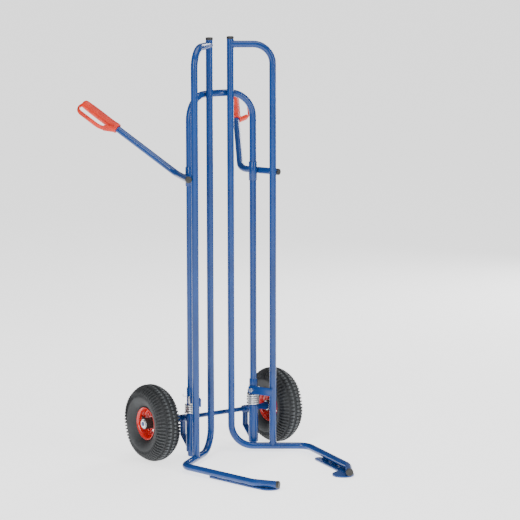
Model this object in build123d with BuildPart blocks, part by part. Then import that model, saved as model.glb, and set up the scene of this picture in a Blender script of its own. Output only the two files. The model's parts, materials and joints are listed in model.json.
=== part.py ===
"""Tyre hand truck: a hooped frame on an axle, with two sprung gripper frames that swivel about its legs.

Millimetres, +Z up, front towards -Y, origin on the floor under the middle of the bounding box.
Right-hand pieces (+X) are modelled once and mirrored for the left.
"""

import os
from math import asin, atan2, cos, degrees, hypot, radians, sin, tan

from build123d import *

os.makedirs("parts", exist_ok=True)

# ---- Driving dimensions: main frame ----
leg_y = 77.8  # the legs' plane, behind the origin
leg_x = 127.5  # leg axis to the middle plane
leg_bottom_z = 15.0
hoop_z = 1221.0  # centreline of the crossbar
hoop_corner_r = 81.0
hoop_clear = 0.71  # the crossbar is swept back until it clears the grippers' inner tubes
hoop_middle_r = 140.0
tube_d = 23.0
tube_wall = 2.0
cap_head = 8.0
cap_rim = 0.8  # how far a cap's head stands proud of its tube all round
cap_spigot = 22.0
cap_round = 3.0
plug_round = 6.4  # the leg plugs are domed

# ---- Driving dimensions: axle and brackets ----
axle_back = 49.0  # axle behind the legs
wheel_r = 130.0
axle_d = 15.0
axle_half = 289.0
strap_w = 20.0
strap_t = 5.0
strap_low_z = 74.0  # where the bracket turns towards the leg
strap_foot_z = 40.0

# ---- Driving dimensions: springs and hinge sleeves ----
sleeve_wall = 2.5
sleeve_play = 0.05  # running clearance all round the leg
low_sleeve_h = 50.0
high_sleeve_drop = 297.0  # the upper sleeve's foot, under the crossbar
high_sleeve_h = 63.0
spring_lift = 10.45  # the spring's foot above the bracket's strap
spring_wire = 6.0
spring_gap = 0.8  # coil to its arbor
spring_turns = 4.6
spring_turn_gap = 1.28
spring_azimuth_deg = -55.0  # where the upper arm stands, from +X
spring_arm = 24.0
collar_foot = 14.0  # the collar's foot under the bracket's
arbor_shoulder = 2.4  # the collar below the spring is this much thicker than the arbor
thrust_gap = 0.3

# ---- Driving dimensions: gripper frames, measured along and across their own plane ----
toe_in_deg = 35.7
plane_front = 43.9  # the gripper's plane in front of the leg's axis
inner_along = -73.9
outer_along = 67.1
gripper_top_z = 1403.0
gripper_bar_z = 1385.0
outer_top_r = 65.0
inner_low_r = 75.0
toe_along = 185.0  # where the bottom bar turns into the prong
toe_r = 45.0
prong_in_deg = 11.2  # prong from straight ahead, towards the middle
prong_run = 318.0
tip_in_deg = 33.2
tip_run = 83.0
tip_r = 70.0

# ---- Driving dimensions: blade under the prong ----
blade_t = 6.0
blade_w = 33.0
blade_start = 112.0  # from the toe corner, along the prong
blade_edge = 2.0  # blade's outer edge, outside the prong's centreline
pad_r = 36.0
pad_along = 48.0  # from the prong's second bend
pad_in = 19.0
stitch_l = 26.0
stitch_w = 8.0
stitch_h = 1.88  # the weld seams' height, between the blade and the prong
stitch_count = 3

# ---- Driving dimensions: hinge lug and its screw ----
lug_h = 27.0
lug_t = 5.0
lug_rise = 1.0  # above the lower sleeve's foot
lug_tail = 9.0  # behind the leg's axis
lug_past = 7.0  # past the outer tube's axis
lug_round = 8.0
screw_d = 8.0
screw_af = 13.0
screw_head_h = 5.3
screw_along = 4.0

# ---- Driving dimensions: handles ----
handle_d = 22.0
handle_wall = 2.0
handle_rise = 32.0  # above the upper sleeve's foot
handle_front = 83.0  # past the leg's axis, to the cap
handle_back = 70.0  # behind the leg's axis, to the bend's corner
handle_bend_r = 50.0
mouth_x = 113.4  # grip's mouth, from the leg
mouth_back = 263.6
mouth_rise = 141.0  # above the handle's level run
grip_l = 155.0
grip_d = 32.0
grip_overlap = 118.0  # handle tube inside the grip
grip_collar = 12.0
grip_round = 10.0
guard_drop = 46.0
guard_w = 24.0
guard_t = 9.0
guard_corner_r = 22.0
guard_lift = 10.0  # where the guard starts, off the grip's axis
guard_knee = 56.0  # from the mouth to where the guard runs level with the grip
guard_knee_r = 50.0
guard_start = 3.0
guard_inset = 5.0  # short of the grip's far end
guard_side = (0.90, -0.35, -0.28)  # from the right grip towards its guard

# ---- Driving dimensions: wheels ----
wheel_x = 250.0
tyre_w = 85.0
tyre_wall = 7.0
rim_seat_r = 49.0
rim_flange_h = 6.5  # above the bead seat
rim_half_w = 29.0
rim_sheet = 2.5
window_count = 3
window_in_r = 23.0
window_rim = 9.0  # from the windows' outer edge to the bead seat
window_deg = 88.0
window_round = 4.0
window_start_deg = 30.0
bolt_start_deg = window_start_deg + 180.0 / window_count
disc_gap = 0.1  # between the two bolted rim discs
bead_h = 7.5
bead_t = 8.0
waist_share = 0.5
inner_tube_wall = 2.0
hub_d = 37.0
hub_half = 34.0
hub_bore = 24.0
bearing_d = 32.0
bearing_w = 9.0
rim_bolt_d = 6.0
rim_bolt_af = 10.0
rim_bolt_head = 4.0
rim_nut_h = 5.0
rim_bolt_r = 31.0
valve_d = 7.0
valve_l = 26.0
valve_out = 9.5  # from the wheel's middle plane
valve_deg = 75.0
retainer_d = 26.0
retainer_t = 3.0

# ---- Common clearances ----
weld_gap = 0.12  # between pieces that are welded
fit_gap = 0.05  # between a piece and the hole that holds it
body_gap = 0.5  # between pieces that turn past each other
tube_gap = 0.3  # between the tyre and its inner tube

# ---- Worked out from the sizes above ----
sleeve_bore_r = tube_d / 2 + sleeve_play
sleeve_r = sleeve_bore_r + sleeve_wall
strap_top_z = wheel_r + axle_d / 2 + fit_gap + strap_t
spring_z = strap_top_z + spring_lift
coil_h = spring_turns * (spring_wire + spring_turn_gap)
low_sleeve_z = spring_z + coil_h + spring_wire + body_gap
lug_z = low_sleeve_z + lug_rise
high_sleeve_z = hoop_z - high_sleeve_drop
handle_z = high_sleeve_z + handle_rise
gripper_low_z = blade_t + stitch_h + weld_gap + tube_d / 2
rim_flange_r = rim_seat_r + rim_flange_h
window_out_r = rim_seat_r - window_rim
toe_in = radians(toe_in_deg)
along = Vector(cos(toe_in), -sin(toe_in), 0)  # along the right gripper's plane, outwards
leg = Vector(leg_x, leg_y, 0)
plane_foot = leg + Vector(-sin(toe_in), -cos(toe_in), 0) * plane_front
up = Vector(0, 0, 1)
axle_y = leg_y + axle_back


def at_gripper(distance, height):
    """Point in the right gripper's plane."""
    return plane_foot + along * distance + up * height


def heading(inward_deg):
    """Level direction, straight ahead and turned towards the middle."""
    return Vector(-sin(radians(inward_deg)), -cos(radians(inward_deg)), 0)


def inward_of(direction):
    """Level direction square to another, towards the middle of the truck."""
    return Vector(direction.Y, -direction.X, 0)


inner_foot = at_gripper(inner_along, 0)
outer_foot = at_gripper(outer_along, 0)
prong_way = heading(prong_in_deg)
tip_way = heading(tip_in_deg)
toe = at_gripper(toe_along, gripper_low_z)
second_bend = toe + prong_way * prong_run
prong_end = second_bend + tip_way * tip_run


def tangent_line(leg_reach, outer_reach, side):
    """Line that passes the leg and the outer tube at two distances, on one side of both.

    Returns its foot beside the leg, its direction towards the outer tube and its normal.
    """
    reach = outer_foot - leg
    span = hypot(reach.X, reach.Y)
    straight = reach * (1 / span)
    square = Vector(-straight.Y, straight.X, 0) * side
    lean = asin((leg_reach - outer_reach) / span)
    normal = square * cos(lean) + straight * sin(lean)
    direction = straight * cos(lean) - square * sin(lean)
    return leg + normal * leg_reach, direction, normal


# ---- Shared ways of making a piece ----
def write(piece, name):
    """Label a finished piece and write it."""
    piece.part.label = name
    export_step(piece.part, f"parts/{name}.step")


def write_pair(piece, name):
    """Write a right-hand piece and its mirror image."""
    write(piece, f"right_{name}")
    with BuildPart() as twin:
        mirror(piece.part, about=Plane.YZ)
    write(twin, f"left_{name}")


def bent_tube(points, radii, outer_d, wall):
    """Round tube along straight runs joined by tangent arcs."""
    with BuildPart() as piece:
        with BuildLine() as route:
            FilletPolyline(*points, radius=radii)
        with BuildSketch(Plane(origin=route.line @ 0, z_dir=route.line % 0)):
            Circle(outer_d / 2)
            Circle(outer_d / 2 - wall, mode=Mode.SUBTRACT)
        sweep(path=route.wires()[0])
    return piece


def coped(piece, tools):
    """Cut a tube's ends to the tubes that they are welded to."""
    with BuildPart() as cut:
        add(piece.part)
        for origin, way, length in tools:
            with BuildSketch(Plane(origin=origin, z_dir=way)):
                Circle(tube_d / 2 + weld_gap)
            extrude(amount=length, both=True, mode=Mode.SUBTRACT)
    return cut


def end_cap(mouth, way, head_r, spigot_r, head_round):
    """Plug for a tube's end: a rounded head outside and a spigot inside."""
    with BuildPart() as cap:
        with BuildSketch(Plane(origin=mouth, z_dir=way)):
            Circle(head_r)
        extrude(amount=cap_head)
        crown = cap.faces().sort_by(Axis(mouth, way))[-1]
        fillet(crown.edges(), head_round)
        with BuildSketch(Plane(origin=mouth, z_dir=way * -1)):
            Circle(spigot_r)
        extrude(amount=cap_spigot)
    return cap


def sleeve(bottom_z, height):
    """Hinge sleeve that runs on the right leg."""
    with BuildPart() as ring:
        with BuildSketch(Plane(origin=leg + up * bottom_z)):
            Circle(sleeve_r)
            Circle(sleeve_bore_r, mode=Mode.SUBTRACT)
        extrude(amount=height)
    return ring


# ---- Main frame: one hooped tube with a plug in each leg ----
inner_step = Vector(leg_x - inner_foot.X, inner_foot.Y - leg_y)
hoop_lean = atan2(inner_step.Y, inner_step.X) + asin((tube_d + hoop_clear) / inner_step.length)
hoop_points = [
    Vector(leg_x, leg_y, leg_bottom_z),
    Vector(leg_x, leg_y, hoop_z),
    Vector(0, leg_y + leg_x * tan(hoop_lean), hoop_z),
    Vector(-leg_x, leg_y, hoop_z),
    Vector(-leg_x, leg_y, leg_bottom_z),
]
write(
    bent_tube(hoop_points, [hoop_corner_r, hoop_middle_r, hoop_corner_r], tube_d, tube_wall),
    "main_frame",
)
leg_plug = end_cap(
    leg + up * leg_bottom_z, up * -1, tube_d / 2, tube_d / 2 - tube_wall - fit_gap, plug_round
)
write_pair(leg_plug, "leg_plug")

# ---- Axle brackets: a strap curled over the axle and brought down to the leg's foot ----
collar_r = sleeve_r + arbor_shoulder
eye_r = axle_d / 2 + fit_gap
collar_low_z = strap_foot_z - collar_foot
collar_top_z = spring_z - body_gap
with BuildPart() as bracket:
    with BuildSketch(Plane(origin=Vector(leg_x, 0, 0), x_dir=(0, 1, 0), z_dir=(1, 0, 0))):
        with Locations((axle_y, wheel_r)):
            Circle(eye_r + strap_t)
        strap_top = strap_top_z - strap_t / 2
        with BuildLine():
            Polyline((leg_y, strap_top), (axle_y, strap_top))
        trace(line_width=strap_t)
        with BuildLine():
            Polyline(
                (axle_y, wheel_r),
                (axle_y, strap_low_z),
                (leg_y + tube_d / 2, strap_foot_z),
                (leg_y, strap_foot_z),
            )
        trace(line_width=strap_t)
        with Locations((axle_y, wheel_r)):
            Circle(eye_r, mode=Mode.SUBTRACT)
    extrude(amount=strap_w / 2, both=True)
    with BuildSketch(Plane(origin=leg)):
        Circle(collar_r + weld_gap)
    extrude(amount=hoop_z, mode=Mode.SUBTRACT)
write_pair(bracket, "axle_bracket")

# ---- Leg collars: the collar carries the bracket, and its arbor the spring and the sleeve above ----
arbor_r = sleeve_r
with BuildPart() as collar:
    with BuildSketch(Plane(origin=leg + up * collar_low_z)):
        Circle(collar_r)
        Circle(tube_d / 2 + fit_gap, mode=Mode.SUBTRACT)
    extrude(amount=collar_top_z - collar_low_z)
    chamfer(collar.edges().filter_by(GeomType.CIRCLE).sort_by(SortBy.RADIUS)[-2:], 0.8)
    with BuildSketch(Plane(origin=leg + up * collar_top_z)):
        Circle(arbor_r)
        Circle(tube_d / 2 + fit_gap, mode=Mode.SUBTRACT)
    extrude(amount=low_sleeve_z - thrust_gap - collar_top_z)
write_pair(collar, "spring_collar")

# ---- Torsion springs: a coil round the arbor, with its upper arm beside the sleeve ----
coil_r = arbor_r + spring_gap + spring_wire / 2
with BuildPart() as coil:
    with BuildLine() as coil_line:
        Helix(pitch=coil_h / spring_turns, height=coil_h, radius=coil_r)
    with BuildSketch(Plane(origin=coil_line.line @ 0, z_dir=coil_line.line % 0)):
        Circle(spring_wire / 2)
    sweep(path=coil_line.wires()[0], is_frenet=True)
    with Locations(coil_line.line @ 1):
        Sphere(spring_wire / 2)
        Cylinder(spring_wire / 2, spring_arm, align=(Align.CENTER, Align.CENTER, Align.MIN))
with BuildPart() as spring:
    coil_foot = leg + up * (spring_z + spring_wire / 2)
    with Locations(Location(coil_foot, (0, 0, spring_azimuth_deg - 360 * spring_turns))):
        add(coil.part)
write_pair(spring, "torsion_spring")

# ---- Axle with its spacers and retaining collars ----
with BuildPart() as axle:
    with BuildSketch(Plane(origin=Vector(0, axle_y, wheel_r), z_dir=(1, 0, 0))):
        Circle(axle_d / 2)
    extrude(amount=axle_half, both=True)
    chamfer(axle.edges().filter_by(GeomType.CIRCLE), 1.2)
write(axle, "axle")


def on_axle(points):
    """Ring turned about the axle from its outline of (distance along the axle, radius)."""
    with BuildPart() as ring:
        with BuildSketch(Plane(origin=Vector(0, axle_y, wheel_r), x_dir=(1, 0, 0), z_dir=(0, -1, 0))):
            with BuildLine():
                Polyline(*points, close=True)
            make_face()
        revolve(axis=Axis((0, axle_y, wheel_r), (1, 0, 0)))
    return ring


axle_hole_r = axle_d / 2 + fit_gap
hub_in_x = wheel_x - hub_half
hub_out_x = wheel_x + hub_half
spacer_in_x = leg_x + strap_w / 2 + body_gap
spacer_out_x = hub_in_x - body_gap
spacer = on_axle(
    [
        (spacer_in_x, axle_hole_r),
        (spacer_out_x, axle_hole_r),
        (spacer_out_x, bearing_d / 2 - 2.0),
        (spacer_out_x - 3.0, bearing_d / 2 - 2.0),
        (spacer_out_x - 20.0, axle_hole_r + 2.5),
        (spacer_in_x, axle_hole_r + 2.5),
    ]
)
write_pair(spacer, "axle_spacer")
retainer = on_axle(
    [
        (hub_out_x + body_gap, axle_hole_r),
        (hub_out_x + body_gap + retainer_t, axle_hole_r),
        (hub_out_x + body_gap + retainer_t, retainer_d / 2 - 1.0),
        (hub_out_x + body_gap + retainer_t - 1.0, retainer_d / 2),
        (hub_out_x + body_gap, retainer_d / 2),
    ]
)
write_pair(retainer, "axle_retainer")

# ---- Wheels: pneumatic tyre and inner tube on a two-piece dished rim with a ball-bearing hub ----
hub = on_axle(
    [
        (hub_in_x, bearing_d / 2 + fit_gap),
        (hub_in_x + bearing_w, bearing_d / 2 + fit_gap),
        (hub_in_x + bearing_w, hub_bore / 2),
        (hub_out_x - bearing_w, hub_bore / 2),
        (hub_out_x - bearing_w, bearing_d / 2 + fit_gap),
        (hub_out_x, bearing_d / 2 + fit_gap),
        (hub_out_x, hub_d / 2),
        (hub_in_x, hub_d / 2),
    ]
)
write_pair(hub, "hub")


def bearing(start_x):
    """One ball bearing as a plain ring with chamfered corners."""
    edge = 0.6
    return on_axle(
        [
            (start_x, axle_hole_r),
            (start_x + bearing_w - fit_gap, axle_hole_r),
            (start_x + bearing_w - fit_gap, bearing_d / 2 - edge),
            (start_x + bearing_w - fit_gap - edge, bearing_d / 2),
            (start_x + edge, bearing_d / 2),
            (start_x, bearing_d / 2 - edge),
        ]
    )


inner_bearing = bearing(hub_in_x)
outer_bearing = bearing(hub_out_x - bearing_w + fit_gap)
with BuildPart() as bearings:
    add(inner_bearing.part)
    add(outer_bearing.part)
write_pair(bearings, "wheel_bearings")


spread = radians(window_deg / 2)


def wheel_plane(distance):
    """Plane square to the axle at a distance from the middle plane, its x axis pointing up."""
    return Plane(origin=Vector(distance, axle_y, wheel_r), x_dir=(0, 0, 1), z_dir=(1, 0, 0))


with BuildSketch() as window:
    with BuildLine():
        inner_a = Vector(window_in_r * cos(spread), -window_in_r * sin(spread))
        inner_b = Vector(window_in_r * cos(spread), window_in_r * sin(spread))
        outer_a = inner_a * (window_out_r / window_in_r)
        outer_b = inner_b * (window_out_r / window_in_r)
        ThreePointArc(inner_a, (window_in_r, 0), inner_b)
        Line(inner_b, outer_b)
        ThreePointArc(outer_b, (window_out_r, 0), outer_a)
        Line(outer_a, inner_a)
    make_face()
    fillet(window.vertices(), window_round)


def rim_half(side):
    """Half rim, side +1 outside and -1 inside: disc, dished well and bead flange, with windows."""
    middle = wheel_x + side * disc_gap / 2
    lip = wheel_x + side * rim_half_w
    disc = middle + side * rim_sheet
    well_r = rim_seat_r - rim_sheet
    turned = on_axle(
        [
            (middle, hub_d / 2 + weld_gap),
            (disc, hub_d / 2 + weld_gap),
            (disc, well_r - 5.0),
            (disc + side * 5.0, well_r),
            (lip - side * 8.0, well_r),
            (lip - side * 1.0, rim_flange_r - rim_sheet),
            (lip, rim_flange_r),
            (lip - side * rim_sheet, rim_flange_r),
            (lip - side * 7.0, rim_seat_r),
            (middle, rim_seat_r),
        ]
    )
    with BuildPart() as half:
        add(turned.part)
        with BuildSketch(wheel_plane(wheel_x)):
            with PolarLocations(0, window_count, start_angle=window_start_deg):
                add(window.sketch)
            with PolarLocations(rim_bolt_r, window_count, start_angle=bolt_start_deg):
                Circle(rim_bolt_d / 2 + fit_gap)
        extrude(amount=rim_sheet * 2, both=True, mode=Mode.SUBTRACT)
        with BuildSketch(Plane(origin=valve_foot, z_dir=valve_way)):
            Circle(valve_d / 2 + fit_gap)
        extrude(amount=rim_flange_r, mode=Mode.SUBTRACT)
    return half


valve_way = Vector(0, sin(radians(valve_deg)), cos(radians(valve_deg)))
valve_foot = Vector(wheel_x + valve_out, axle_y, wheel_r)
write_pair(rim_half(1), "rim_outer")
write_pair(rim_half(-1), "rim_inner")

disc_stack = 2 * rim_sheet + disc_gap + 2 * fit_gap
with BuildPart() as rim_bolts:
    with BuildSketch(wheel_plane(wheel_x + disc_stack / 2)):
        with PolarLocations(rim_bolt_r, window_count, start_angle=bolt_start_deg):
            RegularPolygon(radius=rim_bolt_af / 2, side_count=6, major_radius=False)
    extrude(amount=rim_bolt_head)
    with BuildSketch(wheel_plane(wheel_x + disc_stack / 2)):
        with PolarLocations(rim_bolt_r, window_count, start_angle=bolt_start_deg):
            Circle(rim_bolt_d / 2)
    extrude(amount=-(disc_stack + rim_nut_h + 2.0))
write_pair(rim_bolts, "rim_bolts")
with BuildPart() as rim_nuts:
    with BuildSketch(wheel_plane(wheel_x - disc_stack / 2)):
        with PolarLocations(rim_bolt_r, window_count, start_angle=bolt_start_deg):
            RegularPolygon(radius=rim_bolt_af / 2, side_count=6, major_radius=False)
            Circle(rim_bolt_d / 2 + fit_gap, mode=Mode.SUBTRACT)
    extrude(amount=-rim_nut_h)
write_pair(rim_nuts, "rim_nuts")


wheel_section = Plane(origin=Vector(wheel_x, axle_y, wheel_r), x_dir=(1, 0, 0), z_dir=(0, -1, 0))


def tyre_section(inset, bead_half, foot_r):
    """Outline of the tyre at a depth under its outside: foot, sidewalls and crown."""
    half = tyre_w / 2 - inset
    bead_top = rim_seat_r + bead_h + inset * 0.3
    waist_r = rim_seat_r + (wheel_r - rim_seat_r) * waist_share
    shoulder = (half - 7.0, wheel_r - 16.0 - inset * 0.7)
    crown_drop = wheel_r - inset - shoulder[1]
    crown_curve = (shoulder[0] ** 2 + crown_drop**2) / (2 * crown_drop)
    crown_centre = wheel_r - inset - crown_curve
    crown_side = (shoulder[0] / 2, crown_centre + (crown_curve**2 - shoulder[0] ** 2 / 4) ** 0.5)
    with BuildSketch(wheel_section) as face:
        with BuildLine():
            Line((0, foot_r), (bead_half, foot_r))
            Line((bead_half, foot_r), (bead_half, bead_top))
            ThreePointArc((bead_half, bead_top), (half, waist_r), shoulder)
            ThreePointArc(shoulder, crown_side, (0, wheel_r - inset))
            Line((0, wheel_r - inset), (0, foot_r))
        make_face()
        mirror(about=Plane.YZ)
    return face.sketch


axle_line = Axis((0, axle_y, wheel_r), (1, 0, 0))


def tyre_shell(outer, inner):
    """Turn one outline about the axle and hollow it with another."""
    with BuildPart() as shell:
        revolve(outer, axis=axle_line)
        revolve(inner, axis=axle_line, mode=Mode.SUBTRACT)
    return shell


bead_half = rim_half_w - 7.0 - 0.6
bead_foot = rim_seat_r + fit_gap
cavity_half = bead_half - bead_t
write_pair(
    tyre_shell(
        tyre_section(0, bead_half, bead_foot),
        tyre_section(tyre_wall, cavity_half, rim_seat_r - 1.0),
    ),
    "tyre",
)
write_pair(
    tyre_shell(
        tyre_section(tyre_wall + tube_gap, cavity_half - tube_gap, rim_seat_r + tube_gap),
        tyre_section(
            tyre_wall + tube_gap + inner_tube_wall,
            cavity_half - tube_gap - inner_tube_wall,
            rim_seat_r + tube_gap + inner_tube_wall,
        ),
    ),
    "inner_tube",
)
with BuildPart() as valve:
    with BuildSketch(Plane(origin=valve_foot + valve_way * rim_seat_r, z_dir=valve_way * -1)):
        Circle(valve_d / 2)
    extrude(amount=valve_l)
    fillet(valve.edges().filter_by(GeomType.CIRCLE).sort_by(Axis(valve_foot, valve_way))[0], 1.0)
write_pair(valve, "valve")

# ---- Gripper: grab arm, one tube from its top down, along the floor and out as the prong ----
arm_points = [
    at_gripper(inner_along, gripper_top_z),
    at_gripper(inner_along, gripper_low_z),
    toe,
    second_bend,
    prong_end,
]
write_pair(bent_tube(arm_points, [inner_low_r, toe_r, tip_r], tube_d, tube_wall), "grab_arm")
bore_r = tube_d / 2 - tube_wall - fit_gap
write_pair(end_cap(arm_points[0], up, tube_d / 2 + cap_rim, bore_r, cap_round), "top_cap")
write_pair(end_cap(prong_end, tip_way, tube_d / 2 + cap_rim, bore_r, cap_round), "prong_cap")

# ---- Gripper: outer tube, welded to the grab arm at both ends ----
outer_points = [
    at_gripper(inner_along, gripper_bar_z),
    at_gripper(outer_along, gripper_bar_z),
    at_gripper(outer_along, gripper_low_z),
]
outer_blank = bent_tube(outer_points, [outer_top_r], tube_d, tube_wall)
write_pair(
    coped(outer_blank, [(inner_foot + up * gripper_bar_z, up, 40.0), (outer_points[2], along, 40.0)]),
    "outer_tube",
)

# ---- Gripper: hinge sleeves, the lug from the lower one to the outer tube, and its screw ----
lug_foot, lug_way, lug_normal = tangent_line(sleeve_r + weld_gap, tube_d / 2 + weld_gap, -1)
outer_reach = (outer_foot - leg).dot(lug_way)
screw_spot = lug_foot + lug_way * screw_along + up * (lug_z + lug_h / 2)
screw_hole_r = screw_d / 2 + fit_gap
write_pair(sleeve(high_sleeve_z, high_sleeve_h), "upper_sleeve")
low_sleeve = sleeve(low_sleeve_z, low_sleeve_h)
with BuildPart() as drilled_sleeve:
    add(low_sleeve.part)
    with BuildSketch(Plane(origin=screw_spot, z_dir=lug_normal * -1)):
        Circle(screw_hole_r)
    extrude(amount=sleeve_r, mode=Mode.SUBTRACT)
write_pair(drilled_sleeve, "lower_sleeve")
with BuildPart() as lug:
    with BuildSketch(Plane(origin=lug_foot + up * lug_z, x_dir=lug_way, z_dir=lug_normal)) as lug_face:
        with Locations((-lug_tail, 0)):
            Rectangle(lug_tail + outer_reach + lug_past, lug_h, align=(Align.MIN, Align.MIN))
        fillet(lug_face.vertices().group_by(Axis.X)[0], lug_round)
        with Locations((screw_along, lug_h / 2)):
            Circle(screw_hole_r, mode=Mode.SUBTRACT)
    extrude(amount=lug_t)
write_pair(lug, "hinge_lug")
head_seat = screw_spot + lug_normal * (lug_t + fit_gap)
with BuildPart() as screw:
    with BuildSketch(Plane(origin=head_seat, z_dir=lug_normal)):
        RegularPolygon(radius=screw_af / 2, side_count=6, major_radius=False)
    extrude(amount=screw_head_h)
    chamfer(screw.faces().sort_by(Axis(head_seat, lug_normal))[-1].edges(), 0.7)
    with BuildSketch(Plane(origin=head_seat, z_dir=lug_normal * -1)):
        Circle(screw_d / 2)
    extrude(amount=lug_t + sleeve_wall * 0.8)
write_pair(screw, "lug_screw")

# ---- Gripper: handle tube, welded beside the upper sleeve and the outer tube ----
handle_foot, handle_way, _ = tangent_line(
    sleeve_r + weld_gap + handle_d / 2, tube_d / 2 + weld_gap + handle_d / 2, 1
)
handle_foot += up * handle_z
handle_tip = handle_foot + handle_way * handle_front
handle_corner = handle_foot - handle_way * handle_back
mouth = leg + Vector(mouth_x, mouth_back, handle_z + mouth_rise)
grip_way = (mouth - handle_corner).normalized()
handle_points = [handle_tip, handle_corner, mouth + grip_way * grip_overlap]
write_pair(bent_tube(handle_points, [handle_bend_r], handle_d, handle_wall), "handle_tube")
handle_bore_r = handle_d / 2 - handle_wall - fit_gap
write_pair(end_cap(handle_tip, handle_way, handle_d / 2, handle_bore_r, cap_round), "handle_cap")

# ---- Gripper: hand grip with a guard that loops round the knuckles ----
guard_lean = Vector(*guard_side)
guard_way = (guard_lean - grip_way * guard_lean.dot(grip_way)).normalized()
across = grip_way.cross(guard_way)
with BuildPart() as grip:
    with BuildSketch(Plane(origin=mouth, x_dir=grip_way, z_dir=across)) as profile:
        with BuildLine():
            Polyline(
                (0, handle_d / 2 + fit_gap),
                (0, grip_d / 2 + 1.0),
                (grip_collar, grip_d / 2 - 1.0),
                (grip_l / 2, grip_d / 2),
                (grip_l, grip_d / 2 - 1.5),
                (grip_l, 0),
                (grip_overlap + body_gap, 0),
                (grip_overlap + body_gap, handle_d / 2 + fit_gap),
                close=True,
            )
        make_face()
        fillet(profile.vertices().group_by(Axis.X)[-1].sort_by(Axis.Y)[-1], grip_round)
    revolve(axis=Axis(mouth, grip_way))
    with BuildSketch(Plane(origin=mouth, x_dir=grip_way, z_dir=across)):
        with BuildLine():
            far = grip_l - guard_inset - guard_t / 2
            FilletPolyline(
                (guard_start, guard_lift),
                (guard_knee, guard_drop),
                (far, guard_drop),
                (far, 0),
                radius=[guard_knee_r, guard_corner_r],
            )
        trace(line_width=guard_t)
    extrude(amount=guard_w / 2, both=True)
    with BuildSketch(Plane(origin=mouth, z_dir=grip_way)):
        Circle(handle_d / 2 + fit_gap)
    extrude(amount=grip_overlap + body_gap, mode=Mode.SUBTRACT)
write_pair(grip, "grip")

# ---- Gripper: blade, a flat bar under the prong that ends in a round pad, stitched to the tube ----
blade_off = blade_w / 2 - blade_edge
prong_inward = inward_of(prong_way)
strip_a = toe + prong_way * (blade_start + blade_w / 2) + prong_inward * blade_off
strip_b = second_bend + prong_inward * blade_off
pad_spot = second_bend + tip_way * pad_along + inward_of(tip_way) * pad_in
strip_centre = (strip_a + strip_b) * 0.5
strip_angle = degrees(atan2(strip_b.Y - strip_a.Y, strip_b.X - strip_a.X))
with BuildPart() as blade:
    with BuildSketch():
        with Locations(Location((strip_centre.X, strip_centre.Y), strip_angle)):
            SlotCenterToCenter((strip_b - strip_a).length, blade_w)
    extrude(amount=blade_t)
    with BuildSketch():
        with Locations((strip_b.X, strip_b.Y)):
            Circle(blade_w / 2)
        with Locations((pad_spot.X, pad_spot.Y)):
            Circle(pad_r)
        make_hull()
    extrude(amount=blade_t)
    with BuildSketch(Plane.XY.offset(blade_t)):
        for number in range(stitch_count):
            share = (number + 0.5) / stitch_count
            spot = toe + prong_way * (blade_start + (prong_run - blade_start) * share)
            with Locations(Location((spot.X, spot.Y), strip_angle)):
                Rectangle(stitch_l, stitch_w)
    extrude(amount=stitch_h)
write_pair(blade, "blade")
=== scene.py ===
"""Tyre hand truck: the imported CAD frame, dressed with tyres, rims, springs, grips, welds and finishes."""

import json
import logging
import math
from dataclasses import dataclass, field
from enum import Enum
from typing import Callable, Iterable, Optional, Sequence, Union

import bmesh
import bpy
from mathutils import Matrix, Vector

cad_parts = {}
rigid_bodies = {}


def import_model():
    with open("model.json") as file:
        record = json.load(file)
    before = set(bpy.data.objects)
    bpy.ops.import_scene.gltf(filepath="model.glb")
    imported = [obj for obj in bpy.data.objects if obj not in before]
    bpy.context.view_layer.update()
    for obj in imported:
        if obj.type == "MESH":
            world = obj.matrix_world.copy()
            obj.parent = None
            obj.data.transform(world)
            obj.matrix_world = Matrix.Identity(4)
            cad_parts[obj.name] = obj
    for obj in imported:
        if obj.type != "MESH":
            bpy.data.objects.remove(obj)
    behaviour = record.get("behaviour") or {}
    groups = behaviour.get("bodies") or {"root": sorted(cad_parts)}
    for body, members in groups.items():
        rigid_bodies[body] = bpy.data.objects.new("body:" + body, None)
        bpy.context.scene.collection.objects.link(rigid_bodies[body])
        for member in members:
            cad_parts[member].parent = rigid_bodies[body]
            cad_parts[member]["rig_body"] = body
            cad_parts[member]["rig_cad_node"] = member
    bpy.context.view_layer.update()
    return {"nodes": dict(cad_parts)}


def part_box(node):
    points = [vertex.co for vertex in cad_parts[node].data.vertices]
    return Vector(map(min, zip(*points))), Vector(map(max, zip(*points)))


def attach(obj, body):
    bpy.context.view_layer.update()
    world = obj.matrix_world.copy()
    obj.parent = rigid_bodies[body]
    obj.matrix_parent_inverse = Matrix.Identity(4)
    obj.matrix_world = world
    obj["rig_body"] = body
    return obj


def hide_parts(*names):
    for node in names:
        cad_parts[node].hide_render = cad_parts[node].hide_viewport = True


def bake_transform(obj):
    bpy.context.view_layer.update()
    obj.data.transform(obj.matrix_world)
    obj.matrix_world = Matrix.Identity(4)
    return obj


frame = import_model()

log = logging.getLogger("hand_truck")
TURN = 2 * math.pi
AXLE_WAY = Vector((1, 0, 0))
UP = Vector((0, 0, 1))
MERGE = 1e-5


class Side(Enum):
    """Right-hand pieces are modelled, and mirrored for the left."""

    RIGHT = "right"
    LEFT = "left"

    @property
    def sign(self) -> int:
        """+1 on the right of the middle plane, -1 on the left."""
        return 1 if self is Side.RIGHT else -1


class Slot(Enum):
    """The record's material slots."""

    PAINT = "frame_paint"
    GRIP = "grip_red"
    PLASTIC = "black_plastic"
    RIM = "rim_red"
    TYRE = "tyre_rubber"
    BUTYL = "butyl"
    ZINC = "zinc"
    STEEL = "bearing_steel"


# ---------------------------------------------------------------- shader maths


Number = Union[float, int]


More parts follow.
